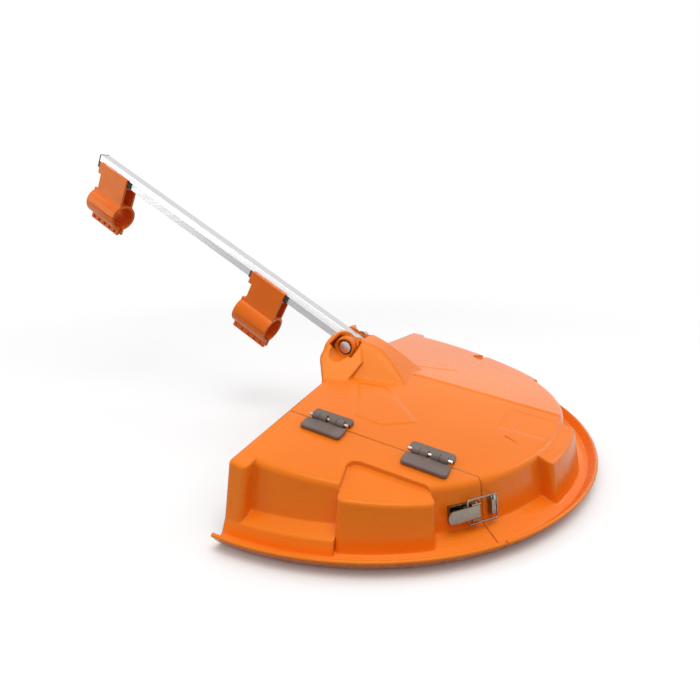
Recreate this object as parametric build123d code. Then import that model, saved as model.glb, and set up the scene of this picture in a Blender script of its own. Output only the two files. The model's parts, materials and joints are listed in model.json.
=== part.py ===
from build123d import *
import os
from math import atan2, cos, degrees, radians, sin, sqrt, tan

os.makedirs("parts", exist_ok=True)

# The guard stands on its rim. +X points to the front, +Z up, and the origin is
# where the cutter axis meets the resting plane. All sizes are millimetres.

# Shell: one moulded wall, a plate that falls from a ridge, and a skirt
WALL = 3.0
PLATE_TOP = 78.0
FALL_FRONT = 0.138
FALL_SIDE = 0.101
CHORD_X = -12.0
SKIRT_R = 200.0
SKIRT_R_AT = 55.0
SKIRT_DRAFT = 0.20
LOBE_R = 210.0
LOBE_R_AT = 58.0
LOBE_DRAFT = 0.22
LOBE_DROP = 3.5
TOP_ROUND = 6.0
LOBE_ROUND = 3.5

# Foot of the skirt: a gutter and a lip turned up like a ski tip. Beside the
# chord the foot has a ledge above the gutter.
FOOT_TOP = 11.0
GUTTER_OUT = 24.0
GUTTER_R = SKIRT_R + GUTTER_OUT
GUTTER_Z = 6.6
LEDGE_IN = 4.4
LEDGE_R = GUTTER_R - LEDGE_IN
LEDGE_TOP = 21.0
LEDGE_LOW = 16.0
LIP_ROOT_OUT = 3.6
LIP_ROOT_R = GUTTER_R + LIP_ROOT_OUT
LIP_ROOT_Z = 5.2
LIP_OUT = 5.8
LIP_R = LIP_ROOT_R + LIP_OUT
LIP_Z = 13.4
LIP_EDGE = 2.8

# Lobes: where the skirt stands proud, as degrees from +X or as plan corners
REAR_LOBE = (38.0, 62.0)
REAR_LOBE_IN = 177.0
FRONT_LOBE = (-21.5, -2.2)
FRONT_LOBE_IN = 172.0
FRONT_LOBE_FALL = 0.08
NEAR_LOBE = ((60.5, -159.5), (123.5, -158.0), (146.5, -190.5), (80.0, -240.0))
NEAR_LOBE_CORNER = 8.0
COLUMN_X = 3.0
COLUMN_IN = 150.0

# Groove down the ridge, from the hood's nose to the front
GROOVE_FROM_X = 58.0
GROOVE_W = 8.0
GROOVE_FLOOR_W = 2.4
GROOVE_D = 1.6

# Flap: the near part of the shell, cut off along a seam
SEAM_Y = -129.0
SEAM_DEG = -40.5
SEAM_GAP = 0.6

# Hood: two cheeks with a slot for the rail, falling to a nose at the front
PIVOT_X = -10.4
PIVOT_Z = 96.4
HOOD_BASE_BACK = (-16.0, -62.0, 74.0)
HOOD_BASE_NOSE = (57.0, -28.0, 67.3)
HOOD_FLANK = (-8.0, -30.0, 97.0)
HOOD_ROUND = 5.0
HOOD_LOW = 58.0
HOOD_HOLLOW_LOW = 40.0
EAR_EDGE = ((7.0, 73.0), (13.0, 85.0), (5.0, 101.0))
EAR_PROUD = 7.0
SLOT_HALF = 8.0
SLOT_FRONT_X = 3.6
SLOT_FLOOR_Z = 82.5
CHEEK_RING_R = 13.5
CHEEK_RING_D = 2.0
HEAD_SEAT_Y = 17.0
HEAD_POCKET_R = 9.6
PIVOT_BOSS_R = 11.5

# Pivot bolt M8 with washers and a lock nut
BOLT_R = 4.0
BOLT_FIT = 0.25
HEAD_AF = 13.0
HEAD_H = 5.3
NUT_H = 8.0
WASHER_R = 8.0
WASHER_T = 1.6
THREAD_PAST_NUT = 2.0

# Rail: extruded section with a wide head and a narrower web
RAIL_PITCH = 29.1
RAIL_W = 13.0
RAIL_H = 16.0
RAIL_WEB_W = 10.0
RAIL_HEAD_H = 8.0
RAIL_SKIN = 1.5
RAIL_CORNER = 1.0
RAIL_NOSE = 9.0
RAIL_REACH = 399.0
RAIL_HOLE_FIT = 0.08
PLUG_T = 2.0
PLUG_IN = 8.0
SPACER_R = 7.0
SPACER_SIDE_GAP = 0.1

# Clips that hang from the rail and hold the tool's shaft
CLIP_L = 48.0
CLIP_NAMES = ("near", "far")
CLIP_WALL = 2.6
CLIP_FIT = 0.2
SHAFT_R = 14.0
SHAFT_DROP = 50.0
BARREL_WALL = 3.0
SPLIT_W = 3.0
FLANGE_H = 7.0
FLANGE_T = 3.0
FLANGE_HOLE = 3.4
FLANGE_HOLES = 5
HOOK_GAP = 14.0
HOOK_INSET = 3.0
HOOK_DEEP = 3.5
NECK_NOTCH = 5.0
GLIDE_PAST = 4.0
CLIP_NEAR_AT = 93.0
CLIP_AT = (CLIP_NEAR_AT, RAIL_REACH - GLIDE_PAST - CLIP_L)
GLIDE_FIT = 0.12

# Hinges on the seam
HINGE_AT = (26.5, 113.8)
HINGE_L = 36.5
LEAF_T = 3.8
FIXED_LEAF_W = 13.0
FLAP_LEAF_W = 17.0
LEAF_CORNER = 3.0
LEAF_CHAMFER = 0.76
BARREL_R = 3.4
HINGE_PIN_R = 1.4
HINGE_PIN_FIT = 0.06
HINGE_AXIS_UP = 4.6
PIN_SHORT = 0.4
BARE_END = 4.0
KNUCKLE_L = 6.2
KNUCKLE_GAP = 0.3
RIVET_R = 2.0
RIVET_HEAD_R = 3.2
RIVET_HEAD_H = 1.2
RIVET_SHORT = 1.0

# Toggle latch on the skirt across the seam
LATCH_Z = 24.0
LATCH_SHEET = 1.2
LATCH_SEAT_REACH = 30.0
LATCH_BASE_L = 24.0
LATCH_BASE_W = 13.0
LATCH_BASE_FROM_SEAM = 5.0
LATCH_EAR_H = 6.0
LATCH_EAR_L = 8.0
LATCH_RIVETS_IN = (5.0, 13.0)
LEVER_FIT = 0.3
LEVER_PAST_PIN = 2.0
LEVER_SIDE_L = 11.0
LEVER_L = 27.0
LEVER_W = 9.6
LEVER_H = 3.6
LATCH_PIN_R = 1.0
LATCH_PIN_FIT = 0.06
LATCH_PIN_IN = 3.2
LATCH_PIN_UP = 4.2
BAIL_ARM_IN = 7.5
BAIL_WIRE_R = 0.8
BAIL_BEND = 2.0
BAIL_WIDER = 0.8
KEEPER_W = 7.0
KEEPER_H = 15.0
KEEPER_FROM_SEAM = 5.0
KEEPER_STAND = 4.0
KEEPER_LIP = 1.0
KEEPER_HOOK = 3.0
KEEPER_STEM_IN = 2.0
BAIL_PLAY = 1.5

BIG = 600.0
UNDER = 60.0


def plate_z(x, y, drop=0.0):
    return PLATE_TOP - drop - FALL_FRONT * x - FALL_SIDE * abs(y)


def skirt_r(z):
    return SKIRT_R + (SKIRT_R_AT - z) * SKIRT_DRAFT


def lobe_r(z):
    return LOBE_R + (LOBE_R_AT - z) * LOBE_DRAFT


def on_circle(radius, angle):
    return (radius * cos(radians(angle)), radius * sin(radians(angle)))


def spun(points):
    face = make_face(Plane.XZ * Polyline(*points, close=True))
    return revolve(face, axis=Axis.Z)


def prism(corners, low=-UNDER, high=2 * UNDER, corner=0.0):
    outline = make_face(Polyline(*[(x, y) for x, y in corners], close=True))
    if corner > 0:
        outline = fillet(outline.vertices(), corner)
    return Pos(0, 0, low) * extrude(outline, high - low)


def under_plate(drop=0.0, extra_fall=0.0, from_x=0.0):
    """Everything below the two planes of the plate, lowered by drop."""
    back = CHORD_X - UNDER
    fall = FALL_FRONT + extra_fall
    crest = PLATE_TOP - drop - fall * back + extra_fall * from_x
    edge = crest - FALL_SIDE * BIG / 2
    ends = [(-BIG / 2, edge), (0, crest), (BIG / 2, edge), (BIG / 2, -BIG / 2), (-BIG / 2, -BIG / 2)]
    section = make_face(Plane.YZ * Polyline(*ends, close=True))
    return Pos(back, 0, 0) * extrude(section, BIG * sqrt(1 + fall**2) / 1.5, dir=Vector(1, 0, -fall))


def sector(from_deg, to_deg, inner):
    """Plan corners of a wedge from radius inner to past the rim."""
    outer = BIG / 2
    return [
        on_circle(inner, from_deg),
        on_circle(outer, from_deg),
        on_circle(outer, to_deg),
        on_circle(inner, to_deg),
    ]


def pulled_in(corners, by):
    """The same outline with every side moved inwards by the given distance."""
    face = make_face(Polyline(*corners, close=True))
    wire = offset(face, amount=-by, kind=Kind.INTERSECTION).faces()[0]
    return Pos(0, 0, -UNDER) * extrude(wire, 3 * UNDER)


def top_edges(solid, lowest):
    """Edges of the upper rim of a solid, away from its flat bottom."""
    return [e for e in solid.edges() if e.bounding_box().min.Z > lowest]


def arc_edges(solid, lowest):
    return [e for e in top_edges(solid, lowest) if e.geom_type != GeomType.LINE]


# Lobe outlines in plan, with how far their top lies under the plate
rear_outline = sector(*REAR_LOBE, REAR_LOBE_IN)
front_outline = sector(*FRONT_LOBE, FRONT_LOBE_IN)
near_outline = list(NEAR_LOBE)


def column_outline(side):
    inner = COLUMN_IN * side
    outer = BIG / 2 * side
    return [(CHORD_X - UNDER, inner), (COLUMN_X, inner), (COLUMN_X, outer), (CHORD_X - UNDER, outer)]


def ledge_outlines(pulled=0.0):
    """Plan of the two stretches with a ledge, from the chord to the next lobe."""
    lobe_in, lobe_out = near_outline[0], near_outline[3]
    back = CHORD_X - UNDER
    near = [(back, lobe_in[1] + 20), (lobe_in[0] - pulled, lobe_in[1] + 20)]
    near += [(lobe_in[0] - pulled, lobe_in[1]), (lobe_out[0] - pulled, lobe_out[1]), (back, lobe_out[1])]
    start = REAR_LOBE[1] + degrees(pulled / SKIRT_R)
    turn_in = on_circle(REAR_LOBE_IN - 20, start)
    turn_out = on_circle(BIG / 2, start)
    rear = [turn_in, turn_out, (back, BIG / 2), (back, turn_in[1])]
    return near, rear


def proud_cone(inset=0.0):
    low = GUTTER_Z - 1.0 - inset
    high = PLATE_TOP + 20
    return spun([(0, low), (lobe_r(low) - inset, low), (lobe_r(high) - inset, high), (0, high)])


def shell_outer():
    skirt = spun(
        [
            (0, 0),
            (skirt_r(0), 0),
            (skirt_r(PLATE_TOP + 20), PLATE_TOP + 20),
            (0, PLATE_TOP + 20),
        ]
    )
    body = skirt & under_plate()
    body = fillet(arc_edges(body, FOOT_TOP), TOP_ROUND)
    body -= lowered(near_outline, LOBE_DROP, NEAR_LOBE_CORNER)
    body -= lowered(rear_outline, LOBE_DROP, NEAR_LOBE_CORNER)
    cone = proud_cone()
    near = cone & prism(near_outline, corner=NEAR_LOBE_CORNER) & under_plate(LOBE_DROP)
    rear = cone & prism(rear_outline, corner=NEAR_LOBE_CORNER) & under_plate(LOBE_DROP)
    front = cone & prism(front_outline) & under_plate(0, FRONT_LOBE_FALL, FRONT_LOBE_IN)
    columns = [cone & prism(column_outline(side)) & under_plate() for side in (-1, 1)]
    for lobe in (near, rear, front, *columns):
        body += fillet(outer_lobe_edges(lobe), LOBE_ROUND)
    body += foot_ring()
    for outline in ledge_outlines():
        body += ledge_ring() & prism(outline)
    return body


def lowered(corners, drop, corner):
    return prism(corners, corner=corner) - under_plate(drop)


def outer_lobe_edges(lobe):
    """The rim of a lobe's top and its two upright corners on the proud cone."""
    picked = []
    for edge in lobe.edges():
        box = edge.bounding_box()
        middle = edge @ 0.5
        outside = sqrt(middle.X**2 + middle.Y**2) > SKIRT_R - 8
        on_cone = abs(sqrt(middle.X**2 + middle.Y**2) - lobe_r(middle.Z)) < 0.5
        if outside and on_cone and box.max.Z > LEDGE_TOP:
            picked.append(edge)
    return picked


def foot_ring():
    slope = atan2(LIP_Z - LIP_ROOT_Z, LIP_R - LIP_ROOT_R)
    edge_x = LIP_EDGE * sin(slope)
    edge_z = LIP_EDGE * cos(slope)
    return spun(
        [
            (skirt_r(FOOT_TOP) - WALL, 0),
            (GUTTER_R, 0),
            (LIP_ROOT_R + edge_x, LIP_ROOT_Z - edge_z),
            (LIP_R + edge_x, LIP_Z - edge_z),
            (LIP_R, LIP_Z),
            (LIP_ROOT_R, LIP_ROOT_Z),
            (GUTTER_R, GUTTER_Z),
            (skirt_r(FOOT_TOP), FOOT_TOP),
            (skirt_r(FOOT_TOP) - WALL, FOOT_TOP + WALL),
        ]
    )


def ledge_ring():
    return spun(
        [
            (skirt_r(FOOT_TOP) - WALL, 1),
            (GUTTER_R - 1, 1),
            (GUTTER_R, GUTTER_Z),
            (LEDGE_R, LEDGE_LOW),
            (skirt_r(LEDGE_TOP), LEDGE_TOP),
            (skirt_r(LEDGE_TOP) - WALL, LEDGE_TOP + WALL),
        ]
    )


def skirt_hollow(with_ledge):
    high = PLATE_TOP + 20
    lean = WALL * sqrt(1 + SKIRT_DRAFT**2)
    points = [(0, -1), (GUTTER_R - WALL, -1)]
    if with_ledge:
        points += [(GUTTER_R - WALL, GUTTER_Z - 1), (LEDGE_R - WALL, LEDGE_LOW - 2)]
        points += [(skirt_r(LEDGE_TOP) - lean, LEDGE_TOP - WALL)]
    else:
        points += [(GUTTER_R - WALL, GUTTER_Z - WALL), (skirt_r(FOOT_TOP) - lean, FOOT_TOP - WALL)]
    return spun(points + [(skirt_r(high) - lean, high), (0, high)])


def shell_inner():
    hollow = skirt_hollow(False)
    full = hollow & under_plate(WALL)
    full -= thick_under(near_outline)
    full -= thick_under(rear_outline)
    full += hollow & under_plate(WALL + LOBE_DROP)
    cone = proud_cone(WALL * sqrt(1 + LOBE_DRAFT**2))
    full += cone & pulled_in(near_outline, WALL) & under_plate(WALL + LOBE_DROP)
    full += cone & pulled_in(rear_outline, WALL) & under_plate(WALL + LOBE_DROP)
    full += cone & pulled_in(front_outline, WALL) & under_plate(WALL, FRONT_LOBE_FALL, FRONT_LOBE_IN)
    for side in (-1, 1):
        full += cone & pulled_in(column_outline(side), WALL) & under_plate(WALL)
    low_part = skirt_hollow(True) & Pos(0, 0, -BIG / 2 + LEDGE_TOP) * Box(BIG, BIG, BIG)
    for outline in ledge_outlines(WALL):
        full += low_part & prism(outline)
    return full


def thick_under(corners):
    """What must stay solid round a lowered lobe top, one wall past its outline."""
    return pulled_in(corners, -WALL) - under_plate(WALL + LOBE_DROP)


def build_shell():
    shell = shell_outer() - shell_inner()
    return shell & Pos(CHORD_X + BIG / 2, 0, 0) * Box(BIG, BIG, BIG)


# Side view of the hood as (x, z), clockwise from the chord
HOOD_REAR = ((CHORD_X, 64.0), (-16.0, 73.0), (-22.5, 84.0), (-29.0, 94.0))
HOOD_CROWN = ((-28.2, 103.0), (-20.5, 110.3), (-9.0, 107.6), (9.0, 101.8))
HOOD_CROWN += ((22.0, 97.0), (35.0, 88.5), (48.0, 77.0), (60.0, 66.0))
HOOD_FOOT = ((62.0, 52.0), (CHORD_X, 52.0))


def moved_in(points, by):
    """Points of a closed clockwise outline, each moved inwards by the given distance."""
    moved = []
    for index, (x, z) in enumerate(points):
        before = points[index - 1]
        after = points[(index + 1) % len(points)]
        first = Vector(x - before[0], z - before[1]).normalized()
        second = Vector(after[0] - x, after[1] - z).normalized()
        normals = (Vector(first.Y, -first.X), Vector(second.Y, -second.X))
        middle = (normals[0] + normals[1]).normalized()
        reach = by / middle.dot(normals[0])
        moved.append((x + middle.X * reach, z + middle.Y * reach))
    return moved


def hood_block(inset=0.0):
    outline = moved_in(HOOD_REAR + HOOD_CROWN + HOOD_FOOT, inset)
    rear = outline[: len(HOOD_REAR)]
    crown = outline[len(HOOD_REAR) - 1 : len(HOOD_REAR) + len(HOOD_CROWN)]
    foot = outline[len(HOOD_REAR) + len(HOOD_CROWN) - 1 :] + [outline[0]]
    lines = [Plane.XZ * line for line in (Polyline(*rear), Spline(*crown), Polyline(*foot))]
    block = extrude(make_face(Wire(Curve() + lines)), BIG / 4, both=True)
    for side in (1, -1):
        block -= flank_cutter(side, inset)
    return block


def front_flank(side):
    """Plane of the flank ahead of the ear: it leans in more than the ear's own."""
    top_x, top_z = EAR_EDGE[2]
    low_x, low_z = EAR_EDGE[0]
    top = Vector(top_x, flank_y(top_x, top_z) * side, top_z)
    nose = Vector(HOOD_BASE_NOSE[0], HOOD_BASE_NOSE[1] * -side, HOOD_BASE_NOSE[2])
    low = Vector(low_x, (flank_y(low_x, low_z) - EAR_PROUD) * side, low_z)
    normal = (nose - low).cross(top - low).normalized()
    if normal.Y * side < 0:
        normal = -normal
    return Plane(low, z_dir=normal)


def ahead_of_ear(side, inset=0.0):
    """What is cut away ahead of the ear, so that the ear's edge stands proud."""
    low, middle, top = EAR_EDGE
    corners = [(low[0] - inset, 0), (low[0] - inset, low[1])]
    corners += [(middle[0] - inset, middle[1]), (top[0] - inset, top[1]), (top[0] - inset, BIG / 2)]
    corners += [(BIG / 2, BIG / 2), (BIG / 2, 0)]
    region = extrude(make_face(Plane.XZ * Polyline(*corners, close=True)), BIG / 4, both=True)
    plane = front_flank(side)
    moved = Plane(plane.origin - plane.z_dir * inset, z_dir=plane.z_dir)
    return extrude(moved * Rectangle(BIG, BIG), BIG / 2) & region


def flank_cutter(side, inset=0.0):
    """A slab whose inner face is the leaning flank of the hood."""
    corners = (HOOD_BASE_BACK, HOOD_BASE_NOSE, HOOD_FLANK)
    back, nose, up = (Vector(x, y * side, z) for x, y, z in corners)
    normal = (nose - back).cross(up - back).normalized() * side
    origin = back - normal * inset
    return extrude(Plane(origin, z_dir=normal) * Rectangle(BIG, BIG), BIG / 2)


def crown_edges(block):
    picked = []
    for edge in block.edges():
        box = edge.bounding_box()
        if edge.geom_type != GeomType.LINE and box.min.Z > 60 and box.size.X > 20:
            picked.append(edge)
    return picked


def along_y(radius, y_from, y_to, x=PIVOT_X, z=PIVOT_Z):
    return Plane((x, y_from, z), z_dir=(0, 1, 0)) * extrude(Circle(radius), y_to - y_from)


def flank_normal(side):
    corners = (HOOD_BASE_BACK, HOOD_BASE_NOSE, HOOD_FLANK)
    back, nose, up = (Vector(x, y * side, z) for x, y, z in corners)
    return (nose - back).cross(up - back).normalized() * side


def flank_y(x, z):
    """Distance of the flank from the middle plane at a point of the side view."""
    normal = flank_normal(1)
    back = Vector(HOOD_BASE_BACK[0], HOOD_BASE_BACK[1], HOOD_BASE_BACK[2])
    return -(back.Y - (normal.X * (x - back.X) + normal.Z * (z - back.Z)) / normal.Y)


def slab(x_from, x_to, y_from, y_to, z_from, z_to):
    size = (x_to - x_from, y_to - y_from, z_to - z_from)
    centre = ((x_to + x_from) / 2, (y_to + y_from) / 2, (z_to + z_from) / 2)
    return Pos(*centre) * Box(*size)


def build_hood():
    hood = hood_block()
    hood = fillet(crown_edges(hood), HOOD_ROUND)
    hood &= slab(-BIG, BIG, -BIG, BIG, HOOD_LOW, BIG)
    for side in (1, -1):
        hood -= ahead_of_ear(side)
    hood -= slab(-BIG, SLOT_FRONT_X, -SLOT_HALF, SLOT_HALF, SLOT_FLOOR_Z, BIG)
    return hood


def hood_hollow():
    """The space under the hood, apart from the slot walls and the pivot bosses."""
    space = hood_block(WALL) & slab(-BIG, BIG, -BIG, BIG, HOOD_HOLLOW_LOW, BIG)
    keep = slab(-BIG, SLOT_FRONT_X + WALL, -SLOT_HALF - WALL, SLOT_HALF + WALL, SLOT_FLOOR_Z - WALL, BIG)
    bosses = along_y(PIVOT_BOSS_R, -BIG / 4, BIG / 4)
    for side in (1, -1):
        space -= ahead_of_ear(side, WALL)
    return space - keep - bosses


def ridge_groove():
    """A shallow trough in the plate's top along its ridge."""
    half = GROOVE_W / 2
    floor_half = GROOVE_FLOOR_W / 2
    edge = -FALL_SIDE * half
    points = [(-half, WALL), (-half, edge), (-floor_half, -GROOVE_D), (floor_half, -GROOVE_D)]
    points += [(half, edge), (half, WALL)]
    start = Plane((GROOVE_FROM_X, 0, plate_z(GROOVE_FROM_X, 0)), x_dir=(0, 1, 0), z_dir=(1, 0, 0))
    section = start * make_face(Polyline(*points, close=True))
    return extrude(section, BIG / 2, dir=Vector(1, 0, -FALL_FRONT).normalized())


def flank_ring(side):
    """A shallow round recess in the flank, centred on the bolt."""
    y = flank_y(PIVOT_X, PIVOT_Z) * side
    normal = flank_normal(side)
    origin = Vector(PIVOT_X, y, PIVOT_Z) - normal * CHEEK_RING_D
    return extrude(Plane(origin, z_dir=normal) * Circle(CHEEK_RING_R), BIG / 20)


def pivot_holes():
    cut = along_y(BOLT_R + BOLT_FIT, -BIG / 4, BIG / 4)
    cut += along_y(HEAD_POCKET_R, HEAD_SEAT_Y, BIG / 8)
    cut += along_y(HEAD_POCKET_R, -BIG / 8, -HEAD_SEAT_Y)
    return cut + flank_ring(1) + flank_ring(-1)


# Seam between the main shell and the flap
def flap_region(grow=0.0):
    """Plan of the flap: behind the seam on the plate, radial down the skirt."""
    seam_x = -SEAM_Y / tan(radians(-SEAM_DEG))
    far = BIG / 2 / cos(radians(SEAM_DEG))
    end_x, end_y = on_circle(far, SEAM_DEG)
    corners = [(-BIG / 4, SEAM_Y), (seam_x, SEAM_Y), (end_x, end_y), (-BIG / 4, -BIG)]
    return pulled_in(corners, -grow) if grow > 0 else pulled_in(corners, 0.0001)


# Local frames on the near half of the plate and on the skirt
SEAM_DIR = Vector(1, 0, -FALL_FRONT).normalized()
PLATE_NORMAL = Vector(FALL_FRONT, -FALL_SIDE, 1).normalized()


def hinge_plane(x):
    """On the plate over the seam: x along the hinge pin, y away from the flap."""
    return Plane((x, SEAM_Y, plate_z(x, SEAM_Y)), x_dir=SEAM_DIR, z_dir=PLATE_NORMAL)


def box_on(plane, x_from, x_to, y_from, y_to, z_from, z_to):
    return plane * slab(x_from, x_to, y_from, y_to, z_from, z_to)


def rod(plane, radius, x_from, x_to, y, z):
    start = plane.from_local_coords(Vector(x_from, y, z))
    return Plane(start, z_dir=plane.x_dir) * extrude(Circle(radius), x_to - x_from)


def knuckle_spans(names):
    """Places of the knuckles along a hinge, from its middle."""
    inner = HINGE_L / 2 - BARE_END
    first = (-inner, -inner + KNUCKLE_L)
    second = (first[1] + KNUCKLE_GAP, first[1] + KNUCKLE_GAP + KNUCKLE_L)
    spans = {"fixed": [first, (-first[1], -first[0])], "flap": [second, (-second[1], -second[0])]}
    return spans[names]


def leaf(x, which):
    plane = hinge_plane(x)
    half = HINGE_L / 2
    side = 1 if which == "fixed" else -1
    width = FIXED_LEAF_W if which == "fixed" else FLAP_LEAF_W
    inner = BARREL_R + KNUCKLE_GAP
    outer_y = sorted((inner * side, width * side))
    plate = box_on(plane, -half, half, *outer_y, 0, LEAF_T)
    corners = plate.edges().filter_by(Axis(plane.origin, plane.z_dir)).sort_by(Axis.Y)
    picked = corners[-2:] if side > 0 else corners[:2]
    plate = fillet(picked, LEAF_CORNER)
    rim = plate.faces().sort_by(Axis.Z)[-1].edges()
    plate = chamfer(rim, LEAF_CHAMFER)
    for start, end in knuckle_spans(which):
        web_y = sorted((0, (inner + 1) * side))
        plate += box_on(plane, start, end, *web_y, HINGE_AXIS_UP - BARREL_R + 0.1, LEAF_T)
        plate += rod(plane, BARREL_R, start, end, 0, HINGE_AXIS_UP)
    hole_r = HINGE_PIN_R if which == "fixed" else HINGE_PIN_R + HINGE_PIN_FIT
    plate -= rod(plane, hole_r, -half, half, 0, HINGE_AXIS_UP)
    return plate - rivet_shanks(x, which)


def rivet_places(x, which):
    plane = hinge_plane(x)
    side = 1 if which == "fixed" else -1
    width = FIXED_LEAF_W if which == "fixed" else FLAP_LEAF_W
    middle = (BARREL_R + KNUCKLE_GAP + width) / 2 * side
    return [plane.from_local_coords(Vector(along, middle, 0)) for along in (-HINGE_L / 4, HINGE_L / 4)]


def rivet_shanks(x, which):
    low = -WALL - RIVET_HEAD_H
    high = LEAF_T - RIVET_SHORT
    shank = Pos(0, 0, low) * extrude(Circle(RIVET_R), high - low)
    first, second = rivet_places(x, which)
    return Plane(first, z_dir=PLATE_NORMAL) * shank + Plane(second, z_dir=PLATE_NORMAL) * shank


def rivets(x, which):
    """Blind rivets from below: the head under the plate, the shank in the leaf."""
    made = rivet_shanks(x, which)
    for place in rivet_places(x, which):
        under = Plane(place, z_dir=PLATE_NORMAL) * Pos(0, 0, -WALL - RIVET_HEAD_H)
        made += under * extrude(Circle(RIVET_HEAD_R), RIVET_HEAD_H)
    return made


def hinge_pin(x):
    half = HINGE_L / 2 - PIN_SHORT
    return rod(hinge_plane(x), HINGE_PIN_R, -half, half, 0, HINGE_AXIS_UP)


# Rail and what it carries: local x runs up the rail, local z away from its foot
def rail_plane():
    pitch = radians(RAIL_PITCH)
    return Plane((PIVOT_X, 0, PIVOT_Z), x_dir=(-cos(pitch), 0, sin(pitch)), z_dir=(sin(pitch), 0, cos(pitch)))


RAIL = rail_plane()


def rail_section():
    head = RectangleRounded(RAIL_W, RAIL_HEAD_H, RAIL_CORNER)
    head = Pos(0, (RAIL_H - RAIL_HEAD_H) / 2) * head
    web = Pos(0, -RAIL_SKIN / 2) * Rectangle(RAIL_WEB_W, RAIL_H - RAIL_SKIN)
    return head + web - rail_inside()


def rail_inside():
    return Rectangle(RAIL_WEB_W - 2 * RAIL_SKIN, RAIL_H - 2 * RAIL_SKIN)


def along_rail(section, s_from, s_to):
    """Extrude a section, drawn with x across and y up, along the rail."""
    start = RAIL.from_local_coords(Vector(s_from, 0, 0))
    plane = Plane(start, x_dir=(0, -1, 0), z_dir=RAIL.x_dir)
    return plane * extrude(section, s_to - s_from)


def build_rail():
    rail = along_rail(rail_section(), -RAIL_NOSE, RAIL_REACH)
    return rail - along_y(BOLT_R + RAIL_HOLE_FIT, -BIG / 4, BIG / 4)


def end_plug():
    cap = RectangleRounded(RAIL_W, RAIL_H, RAIL_CORNER)
    plug = along_rail(rail_inside(), RAIL_REACH - PLUG_IN, RAIL_REACH)
    return plug + along_rail(cap, RAIL_REACH, RAIL_REACH + PLUG_T)


def spacers():
    inner = RAIL_W / 2
    outer = SLOT_HALF - SPACER_SIDE_GAP
    made = []
    for side in (-1, 1):
        near, far = sorted((inner * side, outer * side))
        made.append(along_y(SPACER_R, near, far) - along_y(BOLT_R + RAIL_HOLE_FIT, near, far))
    return made[0] + made[1]


def rect_between(x_from, x_to, y_from, y_to):
    centre = Pos((x_from + x_to) / 2, (y_from + y_to) / 2)
    return centre * Rectangle(x_to - x_from, y_to - y_from)


def clip_section():
    """Across the rail: a box round the rail, a neck and a split barrel."""
    in_w = RAIL_W / 2 + CLIP_FIT
    out_w = in_w + CLIP_WALL
    top = RAIL_H / 2 + CLIP_FIT
    floor = -RAIL_H / 2 - CLIP_FIT
    outer = rect_between(-out_w, out_w, -SHAFT_DROP, top + CLIP_WALL)
    channel = rect_between(-in_w, in_w, floor, top)
    neck = rect_between(-in_w, in_w, -SHAFT_DROP, floor - CLIP_WALL)
    barrel = Pos(0, -SHAFT_DROP) * Circle(SHAFT_R + BARREL_WALL)
    low = -SHAFT_DROP - SHAFT_R - BARREL_WALL
    flange = rect_between(-SPLIT_W / 2 - FLANGE_T, SPLIT_W / 2 + FLANGE_T, low - FLANGE_H, low + BARREL_WALL)
    split = rect_between(-SPLIT_W / 2, SPLIT_W / 2, low - FLANGE_H - 1, -SHAFT_DROP)
    bore = Pos(0, -SHAFT_DROP) * Circle(SHAFT_R)
    return (outer - channel - neck) + (barrel + flange) - bore - split


def build_clip(s_at):
    clip = along_rail(clip_section(), s_at, s_at + CLIP_L)
    top = RAIL_H / 2 + CLIP_FIT
    middle = s_at + CLIP_L / 2
    half_gap = HOOK_GAP / 2
    clip -= box_on(RAIL, middle - half_gap, middle + half_gap, -BIG / 4, BIG / 4, top - HOOK_DEEP, BIG / 10)
    for end in (s_at, s_at + CLIP_L - HOOK_INSET):
        clip -= box_on(RAIL, end, end + HOOK_INSET, -BIG / 4, BIG / 4, top - HOOK_DEEP, BIG / 10)
    high = s_at + CLIP_L
    notch_low = -SHAFT_DROP + SHAFT_R + BARREL_WALL + 1
    notch_high = -RAIL_H / 2 - CLIP_FIT - CLIP_WALL - 2
    clip -= box_on(RAIL, high - NECK_NOTCH, high, -BIG / 4, BIG / 4, notch_low, notch_high)
    low = -SHAFT_DROP - SHAFT_R - BARREL_WALL
    step = CLIP_L / FLANGE_HOLES
    half = FLANGE_HOLE / 2
    hole_z = low - FLANGE_H / 2
    for index in range(FLANGE_HOLES):
        at = s_at + step * (index + 0.5)
        clip -= box_on(RAIL, at - half, at + half, -BIG / 4, BIG / 4, hole_z - half, hole_z + half)
    return clip


def glides(s_at):
    """Two strips in the clip, one each side of the rail's web."""
    inner = RAIL_WEB_W / 2 + GLIDE_FIT
    outer = RAIL_W / 2 + CLIP_FIT
    top = RAIL_H / 2 - RAIL_HEAD_H - GLIDE_FIT
    floor = -RAIL_H / 2 - CLIP_FIT
    made = []
    for side in (-1, 1):
        near, far = sorted((inner * side, outer * side))
        strip = box_on(RAIL, s_at - GLIDE_PAST, s_at + CLIP_L + GLIDE_PAST, near, far, floor, top)
        made.append(strip)
    return made[0] + made[1]


# Pivot bolt
def hexagon(across):
    return RegularPolygon(across / 2, 6, major_radius=False)


def build_bolt():
    tail = HEAD_SEAT_Y + WASHER_T + NUT_H + THREAD_PAST_NUT
    shank = along_y(BOLT_R, -HEAD_SEAT_Y - WASHER_T, tail)
    head_plane = Plane((PIVOT_X, -HEAD_SEAT_Y - WASHER_T, PIVOT_Z), x_dir=(1, 0, 0), z_dir=(0, -1, 0))
    head = head_plane * extrude(hexagon(HEAD_AF), HEAD_H)
    crown = head_plane * Pos(0, 0, HEAD_H / 2) * Cone(HEAD_AF / 2 + 3, HEAD_AF / 2 - 0.3, HEAD_H)
    return shank + (head & crown)


def washers():
    made = []
    for side in (-1, 1):
        near, far = sorted((HEAD_SEAT_Y * side, (HEAD_SEAT_Y + WASHER_T) * side))
        made.append(along_y(WASHER_R, near, far) - along_y(BOLT_R, near, far))
    return made[0] + made[1]


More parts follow.
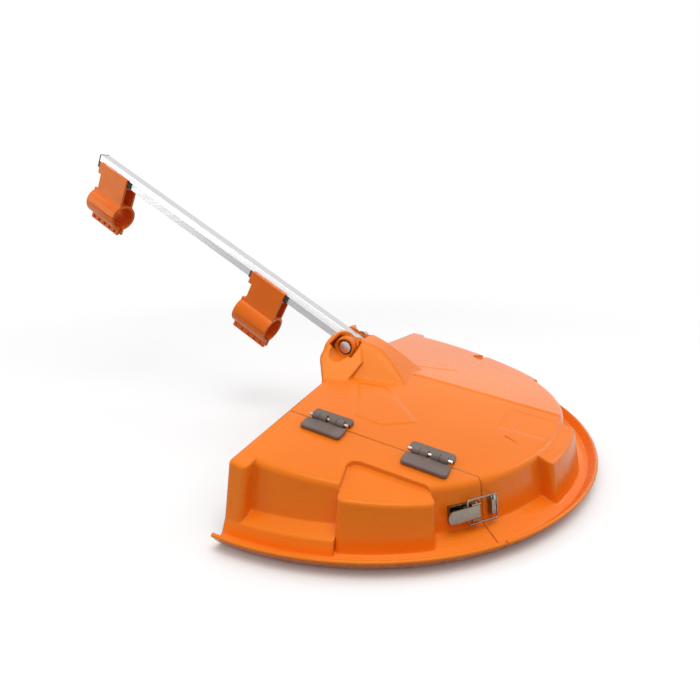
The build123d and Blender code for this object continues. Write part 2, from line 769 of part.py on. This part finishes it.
def build_nut():
    seat = HEAD_SEAT_Y + WASHER_T
    plane = Plane((PIVOT_X, seat, PIVOT_Z), x_dir=(1, 0, 0), z_dir=(0, 1, 0))
    body = plane * extrude(hexagon(HEAD_AF), NUT_H * 0.75)
    collar = along_y(HEAD_AF / 2 - 0.8, seat, seat + NUT_H)
    return body + collar - along_y(BOLT_R, seat - 1, seat + NUT_H + 1)


# Toggle latch: local x runs round the skirt towards the main shell, z outwards
def latch_plane():
    lean = atan2(SKIRT_DRAFT, 1)
    turn = radians(SEAM_DEG)
    outward = Vector(cos(turn) * cos(lean), sin(turn) * cos(lean), sin(lean))
    x, y = on_circle(skirt_r(LATCH_Z), SEAM_DEG)
    return Plane((x, y, LATCH_Z), x_dir=(-sin(turn), cos(turn), 0), z_dir=outward)


LATCH = latch_plane()


def seated(piece):
    """Cut the back of a sheet part to the skirt's cone, so that it lies on it."""
    low = LATCH_Z - LATCH_SEAT_REACH
    high = LATCH_Z + LATCH_SEAT_REACH
    cone = spun([(0, low), (skirt_r(low), low), (skirt_r(high), high), (0, high)])
    return piece - cone


def base_ends():
    end = -LATCH_BASE_FROM_SEAM
    return end - LATCH_BASE_L, end


def latch_base():
    left, right = base_ends()
    half = LATCH_BASE_W / 2
    base = box_on(LATCH, left, right, -half, half, -WALL, LATCH_SHEET)
    base = seated(base)
    ear_in = LEVER_W / 2 + LEVER_FIT
    ear_left = right - LATCH_EAR_L
    for side in (-1, 1):
        near, far = sorted((ear_in * side, (ear_in + LATCH_SHEET) * side))
        base += box_on(LATCH, ear_left, right, near, far, 0, LATCH_EAR_H)
    pin_x = right - LATCH_PIN_IN
    base -= latch_cross_rod(LATCH_PIN_R, pin_x, LATCH_PIN_UP, half + 2)
    return base - latch_rivet_holes()


def latch_cross_rod(radius, x, z, half):
    start = LATCH.from_local_coords(Vector(x, -half, z))
    return Plane(start, z_dir=LATCH.y_dir) * extrude(Circle(radius), 2 * half)


def latch_rivet_spots():
    left = base_ends()[0]
    return [left + inwards for inwards in LATCH_RIVETS_IN]


def latch_rivet_holes():
    made = [Part() + rivet_shaft(x, 0) for x in latch_rivet_spots()]
    return made[0] + made[1]


def rivet_shaft(x, y, low=-WALL - 4, high=LATCH_SHEET):
    start = LATCH.from_local_coords(Vector(x, y, low))
    return Plane(start, z_dir=LATCH.z_dir) * extrude(Circle(RIVET_R - 0.4), high - low)


def skirt_rivets(spots):
    made = []
    for x, y in spots:
        start = LATCH.from_local_coords(Vector(x, y, LATCH_SHEET))
        head = Plane(start, z_dir=LATCH.z_dir) * extrude(Circle(RIVET_HEAD_R - 0.6), 0.8)
        made.append(rivet_shaft(x, y) + head)
    total = made[0]
    for more in made[1:]:
        total += more
    return total


def latch_lever():
    pin_x = base_ends()[1] - LATCH_PIN_IN
    end = pin_x + LEVER_PAST_PIN
    start = end - LEVER_L
    half = LEVER_W / 2
    top = LATCH_PIN_UP + LEVER_H / 2
    skin = box_on(LATCH, start, end, -half, half, top - LATCH_SHEET, top)
    ends = skin.edges().filter_by(Axis(LATCH.origin, LATCH.z_dir))
    ordered = ends.sort_by(Axis(LATCH.origin, LATCH.x_dir))
    skin = fillet(ordered[:2], LEVER_W / 2 - 0.4)
    for side in (-1, 1):
        near, far = sorted(((half - LATCH_SHEET) * side, half * side))
        skin += box_on(LATCH, pin_x - LEVER_SIDE_L, end, near, far, LATCH_PIN_UP - LEVER_H / 2, top)
    bail_x = pin_x - BAIL_ARM_IN
    skin -= latch_cross_rod(BAIL_WIRE_R + LATCH_PIN_FIT, bail_x, LATCH_PIN_UP, half + 1)
    return skin - latch_cross_rod(LATCH_PIN_R + LATCH_PIN_FIT, pin_x, LATCH_PIN_UP, half + 1)


def latch_pin():
    right = base_ends()[1]
    half = LEVER_W / 2 + LEVER_FIT + LATCH_SHEET + PIN_SHORT
    return latch_cross_rod(LATCH_PIN_R, right - LATCH_PIN_IN, LATCH_PIN_UP, half)


def keeper_back():
    return KEEPER_FROM_SEAM + KEEPER_W


def build_keeper():
    half = KEEPER_H / 2
    stem_half = half - KEEPER_STEM_IN
    start = KEEPER_FROM_SEAM
    hook = start + KEEPER_HOOK
    top = KEEPER_STAND + LATCH_SHEET
    keeper = seated(box_on(LATCH, start, keeper_back(), -half, half, -WALL, LATCH_SHEET))
    keeper += box_on(LATCH, start, start + LATCH_SHEET, -stem_half, stem_half, 0, top)
    keeper += box_on(LATCH, start, hook, -stem_half, stem_half, KEEPER_STAND, top)
    keeper += box_on(LATCH, hook - LATCH_SHEET, hook, -stem_half, stem_half, KEEPER_STAND - KEEPER_LIP, top)
    for x, y in keeper_rivet_spots():
        keeper -= rivet_shaft(x, y)
    return keeper


def keeper_rivet_spots():
    x = keeper_back() - 2.4
    return [(x, -KEEPER_H / 4 - 1), (x, KEEPER_H / 4 + 1)]


def build_bail():
    right = base_ends()[1]
    start = right - LATCH_PIN_IN - BAIL_ARM_IN
    half = KEEPER_H / 2 + BAIL_WIRE_R + BAIL_WIDER
    end = KEEPER_FROM_SEAM + KEEPER_HOOK + BAIL_PLAY + BAIL_WIRE_R
    inner = LEVER_W / 2 - LATCH_SHEET
    made = None
    for side in (-1, 1):
        points = [
            (start, inner * side, LATCH_PIN_UP),
            (start, half * side, LATCH_PIN_UP),
            (end, half * side, LATCH_PIN_UP),
            (end, 0, LATCH_PIN_UP),
        ]
        places = [LATCH.from_local_coords(Vector(*p)) for p in points]
        path = FilletPolyline(*places, radius=BAIL_BEND)
        wire = sweep(Plane(places[0], z_dir=places[1] - places[0]) * Circle(BAIL_WIRE_R), path=path)
        made = wire if made is None else made + wire
    return made


def save(node, solid):
    export_step(solid, "parts/" + node + ".step")


# Shells: the whole moulding is split at the seam, then drilled
whole = build_shell() + build_hood()
whole -= hood_hollow()
whole -= pivot_holes()
whole -= ridge_groove()
main_shell = whole - flap_region(SEAM_GAP)
flap_shell = whole & flap_region()
for hinge_x in HINGE_AT:
    main_shell -= rivet_shanks(hinge_x, "fixed")
    flap_shell -= rivet_shanks(hinge_x, "flap")
for x, y in keeper_rivet_spots():
    main_shell -= rivet_shaft(x, y)
flap_shell -= latch_rivet_holes()
save("main_shell", main_shell)
save("flap_shell", flap_shell)

for number, hinge_x in enumerate(HINGE_AT, start=1):
    tag = "hinge_" + str(number)
    save(tag + "_fixed_leaf", leaf(hinge_x, "fixed"))
    save(tag + "_flap_leaf", leaf(hinge_x, "flap"))
    save(tag + "_pin", hinge_pin(hinge_x))
for which, node in (("fixed", "hinge_rivets_fixed"), ("flap", "hinge_rivets_flap")):
    save(node, rivets(HINGE_AT[0], which) + rivets(HINGE_AT[1], which))

save("pivot_bolt", build_bolt())
save("pivot_washers", washers())
save("pivot_nut", build_nut())
save("rail", build_rail())
save("rail_end_plug", end_plug())
save("rail_spacers", spacers())
for name, at in zip(CLIP_NAMES, CLIP_AT):
    save("shaft_clip_" + name, build_clip(at))
    save("clip_glides_" + name, glides(at))

save("latch_base", latch_base())
save("latch_base_rivets", skirt_rivets([(x, 0) for x in latch_rivet_spots()]))
save("latch_lever", latch_lever())
save("latch_lever_pin", latch_pin())
save("latch_bail", build_bail())
save("latch_keeper", build_keeper())
save("latch_keeper_rivets", skirt_rivets(keeper_rivet_spots()))
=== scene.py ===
import json
import math

import bmesh
import bpy
from mathutils import Matrix, Vector


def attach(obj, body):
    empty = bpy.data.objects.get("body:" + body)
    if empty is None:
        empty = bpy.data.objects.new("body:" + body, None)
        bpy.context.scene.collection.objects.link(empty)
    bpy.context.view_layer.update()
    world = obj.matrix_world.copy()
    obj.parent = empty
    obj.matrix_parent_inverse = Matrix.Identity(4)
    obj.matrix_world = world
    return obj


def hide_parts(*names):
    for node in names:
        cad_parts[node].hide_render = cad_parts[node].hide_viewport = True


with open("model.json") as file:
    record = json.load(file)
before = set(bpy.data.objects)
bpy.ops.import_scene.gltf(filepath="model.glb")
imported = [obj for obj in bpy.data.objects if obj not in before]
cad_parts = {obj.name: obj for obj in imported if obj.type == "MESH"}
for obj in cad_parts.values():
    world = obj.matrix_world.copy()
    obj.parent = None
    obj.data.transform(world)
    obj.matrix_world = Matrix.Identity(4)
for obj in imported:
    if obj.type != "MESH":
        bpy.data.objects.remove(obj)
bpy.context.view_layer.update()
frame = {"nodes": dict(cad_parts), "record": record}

# The CAD box, before anything is added
nodes = frame["nodes"]
slot_of = {part["node"]: part["material_slot"] for part in frame["record"]["subparts"]}
scene = bpy.context.scene

# Camera: the photograph's viewing angle, from the perspective of the rim and the rail
FRAME_PX = 700.0
FOCAL_PX = 490.0
SENSOR_MM = 36.0
CAMERA_AT = Vector((0.20575, -0.45930, 0.23564))
CAMERA_AZIMUTH = math.radians(25.75)
CAMERA_ELEVATION = math.radians(16.28)

# Rail: its pitch, a place on its axis at the bolt, and heights above that axis, which also place the painted
# shade lines and the top of the painted shade below the rail's head
MM = 0.001
RAIL_PITCH = math.radians(29.1)
RAIL_UP = Vector((math.sin(RAIL_PITCH), 0, math.cos(RAIL_PITCH)))
PIVOT_AT = Vector((-10.4, 0, 96.4)) * MM
CLIP_TOP_UP = 1.2 * MM
# Painted shade: dark lines at these heights stand in for the shading along the edges of the rail's profile
SHADE_LINES_UP = (2.6 * MM, 7.9 * MM)
SHADE_LINE_HALF = (0.15 * MM, 0.45 * MM)
SHADE_LINE_DEPTH = 0.55
# Painted shade: below this height the rail's colour is darkened in place of the shade under its head
SHADE_TOP_UP = (-0.4 * MM, 0.2 * MM)

# Collar round the bolt's head: radius and distance from the middle plane, in mm
COLLAR_IN_R = 8.1
COLLAR_OUT_R = 11.0
COLLAR_FOOT_Y = 16.9
COLLAR_RIM = ((COLLAR_IN_R, 23.4), (8.4, 24.0), (9.0, 24.3), (9.8, 24.2), (10.6, 23.6), (COLLAR_OUT_R, 22.4))
COLLAR_PROFILE = ((COLLAR_IN_R, COLLAR_FOOT_Y), *COLLAR_RIM, (COLLAR_OUT_R, COLLAR_FOOT_Y))
TURN_SEGMENTS = 96

# Colours, linear
ORANGE = (0.90, 0.210, 0.008)
ORANGE_DEEP = (0.83, 0.175, 0.006)
CLIP_ORANGE = (0.95, 0.185, 0.012)
CLIP_ORANGE_DEEP = (0.90, 0.160, 0.010)
SHINE_TINT = (1.0, 0.66, 0.32, 1.0)
HINGE_BROWN = (0.130, 0.090, 0.076)
HINGE_BROWN_LIGHT = (0.175, 0.128, 0.110)
BLACK = (0.018, 0.018, 0.018)
BLACK_LIGHT = (0.040, 0.040, 0.040)
RAIL_SILVER = (0.93, 0.93, 0.93)
RAIL_SILVER_DARK = (0.85, 0.85, 0.86)
# Painted shade on the rail: the darker colour below its head and along the edges of its profile
RAIL_PAINTED_SHADE = (0.50, 0.49, 0.49)
LATCH_STEEL = (0.36, 0.31, 0.26)
LATCH_STEEL_DARK = (0.20, 0.17, 0.14)
ZINC = (0.66, 0.65, 0.64)
ZINC_DARK = (0.42, 0.41, 0.40)
FLOOR_WHITE = (0.93, 0.93, 0.93, 1.0)
FLOOR_BOUNCE = (0.26, 0.26, 0.26, 1.0)
WHITE = (1.0, 1.0, 1.0, 1.0)

# Noise scales of the finishes, per metre, and the stretch of noise that is used
FLOW_SCALE = 5.0
SCUFF_SCALE = 60.0
WAVE_SCALE = 22.0
SHELL_GRAIN_SCALE = 1500.0
CLOUD_SCALE = 40.0
GLOSS_SCALE = 120.0
DRAW_SCALE = 900.0
STAIN_SCALE = 35.0
CLOUD_SPAN = (0.35, 0.65)
NOISE_SPAN = (0.3, 0.7)

# Studio: where the floor fades to white, the world's light low and high, the lamps
FLOOR_HALF = 12.0
FLOOR_BELOW = 0.0002
FLOOR_FADE_FROM = 0.40
FLOOR_FADE_TO = 0.95
WORLD_LOW = 0.16
WORLD_HIGH = 1.05
LAMPS = (
    ("key", (0.3, -0.3, 1.5), (0.05, 0, 0.05), (0.9, 0.9), 8.0),
    ("left", (-1.2, -0.9, 0.6), (0, 0, 0.05), (0.3, 0.9), 3.5),
    ("right_back", (1.1, 0.9, 0.9), (0.1, 0, 0.05), (0.3, 0.9), 2.5),
)

# Shell: the rounding of its edges, and the shallow pads moulded in the plate's top
# as plan corners and a height, in mm, with the width of the ramp round a pad
SHELL_EDGE = 3.0 * MM
PAD_RAMP = 2.2 * MM
PADS = (
    (((19, -49), (40, -104), (65, -105), (89, -84), (43, -42)), 0.9),
    (((33, 36), (46, 69), (73, 74), (89, 60), (43, 30)), 0.9),
    (((152, -52), (157, -14), (193, -14), (191, -49)), -0.5),
)


class Graph:
    """A small helper that adds nodes to a material and links them."""

    def __init__(self, name):
        self.material = bpy.data.materials.new(name)
        self.material.use_nodes = True
        self.tree = self.material.node_tree
        self.shader = self.tree.nodes["Principled BSDF"]
        self.place = self.add("ShaderNodeTexCoord").outputs["Object"]

    def add(self, kind, **settings):
        node = self.tree.nodes.new(kind)
        for name, value in settings.items():
            setattr(node, name, value)
        return node

    def link(self, output, target):
        self.tree.links.new(output, target)

    def mapped(self, scale=(1, 1, 1), turn=(0, 0, 0)):
        node = self.add("ShaderNodeMapping")
        node.inputs["Scale"].default_value = scale
        node.inputs["Rotation"].default_value = turn
        self.link(self.place, node.inputs["Vector"])
        return node.outputs["Vector"]

    def noise(self, scale, detail=4.0, rough=0.55, vector=None):
        node = self.add("ShaderNodeTexNoise")
        node.inputs["Scale"].default_value = scale
        node.inputs["Detail"].default_value = detail
        node.inputs["Roughness"].default_value = rough
        self.link(vector or self.place, node.inputs["Vector"])
        return node.outputs["Fac"]

    def ranged(self, value, low, high, to_low, to_high, smooth=False):
        node = self.add("ShaderNodeMapRange")
        if smooth:
            node.interpolation_type = "SMOOTHSTEP"
        for name, number in zip(("From Min", "From Max", "To Min", "To Max"), (low, high, to_low, to_high)):
            node.inputs[name].default_value = number
        self.link(value, node.inputs["Value"])
        return node.outputs["Result"]

    def math(self, operation, first, second):
        node = self.add("ShaderNodeMath", operation=operation)
        for socket, value in zip(node.inputs, (first, second)):
            if isinstance(value, (int, float)):
                socket.default_value = value
            else:
                self.link(value, socket)
        return node.outputs["Value"]

    def mixed(self, factor, first, second):
        """Mix of two colours, each a tuple or another node's output."""
        node = self.add("ShaderNodeMix", data_type="RGBA")
        for side, colour in (("A", first), ("B", second)):
            if isinstance(colour, tuple):
                node.inputs[side].default_value = (*colour, 1.0)
            else:
                self.link(colour, node.inputs[side])
        self.link(factor, node.inputs["Factor"])
        return node.outputs["Result"]

    def bump(self, height, strength, distance, normal=None):
        node = self.add("ShaderNodeBump")
        node.inputs["Strength"].default_value = strength
        node.inputs["Distance"].default_value = distance
        self.link(height, node.inputs["Height"])
        if normal is not None:
            self.link(normal, node.inputs["Normal"])
        return node.outputs["Normal"]

    def softened(self, radius):
        """Normals that round the sharp edges by the given radius."""
        node = self.add("ShaderNodeBevel", samples=8)
        node.inputs["Radius"].default_value = radius
        return node.outputs["Normal"]


def pad_height(graph, corners, height):
    """Height of one shallow pad at each place of the plate, from its plan corners."""
    turn = sum(a[0] * b[1] - b[0] * a[1] for a, b in zip(corners, corners[1:] + corners[:1]))
    inside = None
    for start, end in zip(corners, corners[1:] + corners[:1]):
        along = Vector((end[0] - start[0], end[1] - start[1], 0)).normalized()
        inward = Vector((-along.y, along.x, 0)) * math.copysign(1, turn)
        reach = graph.add("ShaderNodeVectorMath", operation="DOT_PRODUCT")
        graph.link(graph.place, reach.inputs[0])
        reach.inputs[1].default_value = inward
        edge_at = inward.dot(Vector((start[0], start[1], 0))) * MM
        ramp = graph.ranged(reach.outputs["Value"], edge_at - PAD_RAMP, edge_at + PAD_RAMP, 0, 1, smooth=True)
        inside = ramp if inside is None else graph.math("MULTIPLY", inside, ramp)
    return graph.math("MULTIPLY", inside, height * MM)


def orange_shell():
    """Glossy moulded plastic with a fine grain, soft flow marks and light scuffs."""
    graph = Graph("orange_shell")
    flow = graph.noise(FLOW_SCALE, detail=3.0)
    cloud = graph.ranged(flow, *CLOUD_SPAN, 0, 1)
    graph.link(graph.mixed(cloud, ORANGE, ORANGE_DEEP), graph.shader.inputs["Base Color"])
    scuffs = graph.noise(SCUFF_SCALE, detail=8.0, rough=0.7, vector=graph.mapped((1.0, 5.0, 5.0)))
    graph.link(graph.ranged(scuffs, 0.3, 0.75, 0.20, 0.33), graph.shader.inputs["Roughness"])
    graph.shader.inputs["IOR"].default_value = 1.48
    graph.shader.inputs["Specular Tint"].default_value = SHINE_TINT
    normal = graph.softened(SHELL_EDGE)
    pads = None
    for corners, height in PADS:
        pad = pad_height(graph, corners, height)
        pads = pad if pads is None else graph.math("ADD", pads, pad)
    normal = graph.bump(pads, 1.0, 1.0, normal)
    wave = graph.noise(WAVE_SCALE, detail=2.0)
    normal = graph.bump(wave, 0.35, 0.5 * MM, normal)
    grain = graph.noise(SHELL_GRAIN_SCALE, detail=2.0)
    normal = graph.bump(grain, 0.10, 0.05 * MM, normal)
    graph.link(normal, graph.shader.inputs["Normal"])
    return graph.material


def plain_plastic(name, dark, light, rough, grain_scale, edge, grain_strength=0.25, tint=WHITE):
    """Moulded plastic: colour clouds, uneven gloss and a fine grain."""
    graph = Graph(name)
    cloud = graph.ranged(graph.noise(CLOUD_SCALE, detail=5.0), *CLOUD_SPAN, 0, 1)
    graph.link(graph.mixed(cloud, dark, light), graph.shader.inputs["Base Color"])
    gloss = graph.noise(GLOSS_SCALE, detail=6.0)
    graph.link(graph.ranged(gloss, *NOISE_SPAN, *rough), graph.shader.inputs["Roughness"])
    graph.shader.inputs["Specular Tint"].default_value = tint
    normal = graph.softened(edge)
    grain = graph.noise(grain_scale, detail=3.0)
    normal = graph.bump(grain, grain_strength, 0.08 * MM, normal)
    graph.link(normal, graph.shader.inputs["Normal"])
    return graph.material


def drawn_metal(name, dark, light, rough, stretch, edge, strength=0.3):
    """Metal with fine drawing or rolling lines along one direction."""
    graph = Graph(name)
    lines = graph.noise(DRAW_SCALE, detail=3.0, vector=graph.mapped(stretch))
    stain = graph.noise(STAIN_SCALE, detail=4.0)
    tone = graph.math("ADD", graph.math("MULTIPLY", lines, 0.5), graph.math("MULTIPLY", stain, 0.5))
    colour = graph.mixed(graph.ranged(tone, *NOISE_SPAN, 0, 1), dark, light)
    graph.link(colour, graph.shader.inputs["Base Color"])
    graph.shader.inputs["Metallic"].default_value = 1.0
    graph.link(graph.ranged(tone, *NOISE_SPAN, *rough), graph.shader.inputs["Roughness"])
    normal = graph.softened(edge)
    normal = graph.bump(lines, strength, 0.03 * MM, normal)
    graph.link(normal, graph.shader.inputs["Normal"])
    return graph.material


def rail_metal():
    """Bright aluminium: a white head with fine draw lines. Below the head the colour is darkened as painted
    shade, and two painted shade lines darken the colour along the edges of the profile.
    """
    graph = Graph("rail_aluminium")
    up = graph.add("ShaderNodeVectorMath", operation="DOT_PRODUCT")
    graph.link(graph.place, up.inputs[0])
    up.inputs[1].default_value = RAIL_UP
    up = graph.math("SUBTRACT", up.outputs["Value"], RAIL_UP.dot(PIVOT_AT))
    lines = graph.noise(DRAW_SCALE, detail=3.0, vector=graph.mapped((0.02, 1, 1), (0, RAIL_PITCH, 0)))
    head = graph.mixed(graph.ranged(lines, *NOISE_SPAN, 0, 1), RAIL_SILVER_DARK, RAIL_SILVER)
    # Painted shade: the rail below its head takes the darker colour in place of shade
    web_shade = graph.ranged(up, *SHADE_TOP_UP, 1, 0)
    # Painted shade lines along the edges of the profile
    shade_lines = None
    for line_up in SHADE_LINES_UP:
        away = graph.math("ABSOLUTE", graph.math("SUBTRACT", up, line_up), 0)
        line = graph.ranged(away, *SHADE_LINE_HALF, SHADE_LINE_DEPTH, 0)
        shade_lines = line if shade_lines is None else graph.math("MAXIMUM", shade_lines, line)
    painted_shade = graph.math("MAXIMUM", web_shade, shade_lines)
    graph.link(graph.mixed(painted_shade, head, RAIL_PAINTED_SHADE), graph.shader.inputs["Base Color"])
    graph.shader.inputs["Metallic"].default_value = 0.85
    graph.link(graph.ranged(lines, *NOISE_SPAN, 0.30, 0.42), graph.shader.inputs["Roughness"])
    normal = graph.bump(lines, 0.3, 0.03 * MM, graph.softened(0.4 * MM))
    graph.link(normal, graph.shader.inputs["Normal"])
    return graph.material


MATERIALS = {
    "orange_shell": orange_shell(),
    "orange_clip": plain_plastic(
        "orange_clip", CLIP_ORANGE_DEEP, CLIP_ORANGE, (0.28, 0.40), 1400.0, 0.5 * MM, 0.12, SHINE_TINT
    ),
    "hinge_plastic": plain_plastic(
        "hinge_plastic", HINGE_BROWN, HINGE_BROWN_LIGHT, (0.42, 0.56), 1800.0, 0.4 * MM
    ),
    "black_plastic": plain_plastic("black_plastic", BLACK, BLACK_LIGHT, (0.45, 0.60), 1600.0, 0.2 * MM),
    "rail_aluminium": rail_metal(),
    "latch_steel": drawn_metal(
        "latch_steel", LATCH_STEEL_DARK, LATCH_STEEL, (0.20, 0.34), (1, 1, 0.1), 0.25 * MM
    ),
    "plated_steel": drawn_metal("plated_steel", ZINC_DARK, ZINC, (0.16, 0.30), (1, 1, 1), 0.3 * MM, 0.15),
}


def dress(piece, slot):
    piece.data.materials.clear()
    piece.data.materials.append(MATERIALS[slot])


for name, piece in nodes.items():
    dress(piece, slot_of[name])


def low_clip(node, body):
    """The clip with its hooks ending at the rail's side, below the white head."""
    mesh = nodes[node].data.copy()
    shape = bmesh.new()
    shape.from_mesh(mesh)
    bmesh.ops.remove_doubles(shape, verts=shape.verts, dist=0.01 * MM)
    cut = bmesh.ops.bisect_plane(
        shape,
        geom=shape.verts[:] + shape.edges[:] + shape.faces[:],
        plane_co=PIVOT_AT + RAIL_UP * CLIP_TOP_UP,
        plane_no=RAIL_UP,
        clear_outer=True,
    )
    rim = [item for item in cut["geom_cut"] if isinstance(item, bmesh.types.BMEdge)]
    bmesh.ops.holes_fill(shape, edges=rim, sides=0)
    shape.to_mesh(mesh)
    shape.free()
    clip = bpy.data.objects.new(node.replace("shaft_", "low_"), mesh)
    scene.collection.objects.link(clip)
    dress(clip, slot_of[node])
    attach(clip, body)
    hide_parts(node)


low_clip("shaft_clip_near", "clip_near")
low_clip("shaft_clip_far", "clip_far")


def turned_piece(name, profile, at, axis):
    """A closed ring turned about an axis from (radius, height) points."""
    axis = Vector(axis)
    across = axis.orthogonal().normalized()
    beside = axis.cross(across)
    mesh = bpy.data.meshes.new(name)
    shape = bmesh.new()
    rings = []
    for step in range(TURN_SEGMENTS):
        angle = math.tau * step / TURN_SEGMENTS
        out = across * math.cos(angle) + beside * math.sin(angle)
        rings.append([shape.verts.new(at + out * radius + axis * height) for radius, height in profile])
    for ring, after in zip(rings, rings[1:] + rings[:1]):
        for index in range(len(profile)):
            following = (index + 1) % len(profile)
            shape.faces.new((ring[index], after[index], after[following], ring[following]))
    bmesh.ops.recalc_face_normals(shape, faces=shape.faces)
    for face in shape.faces:
        face.smooth = True
    shape.to_mesh(mesh)
    shape.free()
    piece = bpy.data.objects.new(name, mesh)
    scene.collection.objects.link(piece)
    return piece


def bolt_collar():
    """The rounded rim of the tight pocket that the bolt's head sits in."""
    profile = [(radius * MM, height * MM) for radius, height in COLLAR_PROFILE]
    collar = turned_piece("bolt_collar_near", profile, PIVOT_AT, (0, -1, 0))
    dress(collar, "orange_shell")
    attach(collar, "guard")


bolt_collar()


def seen_directly(tree):
    """1 for rays from the camera, in reflections and through glass, 0 for the rest."""
    path = tree.nodes.new("ShaderNodeLightPath")
    seen = path.outputs["Is Camera Ray"]
    for ray in ("Is Glossy Ray", "Is Transmission Ray"):
        either = tree.nodes.new("ShaderNodeMath")
        either.operation = "MAXIMUM"
        tree.links.new(seen, either.inputs[0])
        tree.links.new(path.outputs[ray], either.inputs[1])
        seen = either.outputs["Value"]
    return seen


def mixed_shader(tree, factor, first, second):
    mix = tree.nodes.new("ShaderNodeMixShader")
    tree.links.new(factor, mix.inputs["Fac"])
    tree.links.new(first, mix.inputs[1])
    tree.links.new(second, mix.inputs[2])
    return mix.outputs["Shader"]


# A pale floor that fades into the white background, and soft lamps
def floor_material():
    graph = Graph("studio_floor")
    graph.shader.inputs["Base Color"].default_value = FLOOR_WHITE
    graph.link(graph.ranged(graph.noise(3.0), *NOISE_SPAN, 0.55, 0.65), graph.shader.inputs["Roughness"])
    away = graph.add("ShaderNodeVectorMath", operation="LENGTH")
    graph.link(graph.place, away.inputs[0])
    fade = graph.ranged(away.outputs["Value"], FLOOR_FADE_FROM, FLOOR_FADE_TO, 0, 1, smooth=True)
    white = graph.add("ShaderNodeEmission")
    white.inputs["Color"].default_value = WHITE
    bounce = graph.add("ShaderNodeBsdfDiffuse")
    bounce.inputs["Color"].default_value = FLOOR_BOUNCE
    shown = mixed_shader(graph.tree, fade, graph.shader.outputs["BSDF"], white.outputs["Emission"])
    whole = mixed_shader(graph.tree, seen_directly(graph.tree), bounce.outputs["BSDF"], shown)
    output = graph.tree.nodes["Material Output"]
    graph.link(whole, output.inputs["Surface"])
    return graph.material


def studio_floor():
    mesh = bpy.data.meshes.new("studio_floor")
    shape = bmesh.new()
    bmesh.ops.create_grid(shape, x_segments=4, y_segments=4, size=FLOOR_HALF)
    shape.to_mesh(mesh)
    shape.free()
    floor = bpy.data.objects.new("studio_floor", mesh)
    floor.location.z = -FLOOR_BELOW
    scene.collection.objects.link(floor)
    mesh.materials.append(floor_material())


def world_light():
    """Soft light, strongest from above; the camera and reflections see plain white."""
    world = bpy.data.worlds.new("studio")
    world.use_nodes = True
    tree = world.node_tree
    tree.nodes.clear()
    direction = tree.nodes.new("ShaderNodeTexCoord")
    split = tree.nodes.new("ShaderNodeSeparateXYZ")
    tree.links.new(direction.outputs["Generated"], split.inputs["Vector"])
    height = tree.nodes.new("ShaderNodeMapRange")
    tree.links.new(split.outputs["Z"], height.inputs["Value"])
    height.inputs["To Min"].default_value = WORLD_LOW
    height.inputs["To Max"].default_value = WORLD_HIGH
    light = tree.nodes.new("ShaderNodeBackground")
    light.inputs["Color"].default_value = WHITE
    tree.links.new(height.outputs["Result"], light.inputs["Strength"])
    seen = tree.nodes.new("ShaderNodeBackground")
    seen.inputs["Color"].default_value = WHITE
    output = tree.nodes.new("ShaderNodeOutputWorld")
    whole = mixed_shader(tree, seen_directly(tree), light.outputs["Background"], seen.outputs["Background"])
    tree.links.new(whole, output.inputs["Surface"])
    scene.world = world


def area_lamp(name, at, target, size, power):
    data = bpy.data.lights.new(name, "AREA")
    data.shape = "RECTANGLE"
    data.size, data.size_y = size
    data.energy = power
    lamp = bpy.data.objects.new(name, data)
    lamp.location = at
    lamp.rotation_mode = "QUATERNION"
    lamp.rotation_quaternion = (Vector(target) - Vector(at)).to_track_quat("-Z", "Y")
    scene.collection.objects.link(lamp)


def make_camera():
    data = bpy.data.cameras.new("photo_view")
    data.sensor_width = SENSOR_MM
    data.lens = SENSOR_MM * FOCAL_PX / FRAME_PX
    data.clip_start, data.clip_end = 0.01, 50.0
    camera = bpy.data.objects.new("photo_view", data)
    a, e = CAMERA_AZIMUTH, CAMERA_ELEVATION
    right = Vector((math.cos(a), math.sin(a), 0))
    ahead = Vector((-math.sin(a) * math.cos(e), math.cos(a) * math.cos(e), -math.sin(e)))
    up = right.cross(ahead)
    turned = Matrix((right, up, -ahead)).transposed()
    camera.matrix_world = Matrix.Translation(CAMERA_AT) @ turned.to_4x4()
    scene.collection.objects.link(camera)
    scene.camera = camera


studio_floor()
world_light()
for lamp in LAMPS:
    area_lamp(*lamp)
make_camera()
scene.view_settings.view_transform = "Standard"
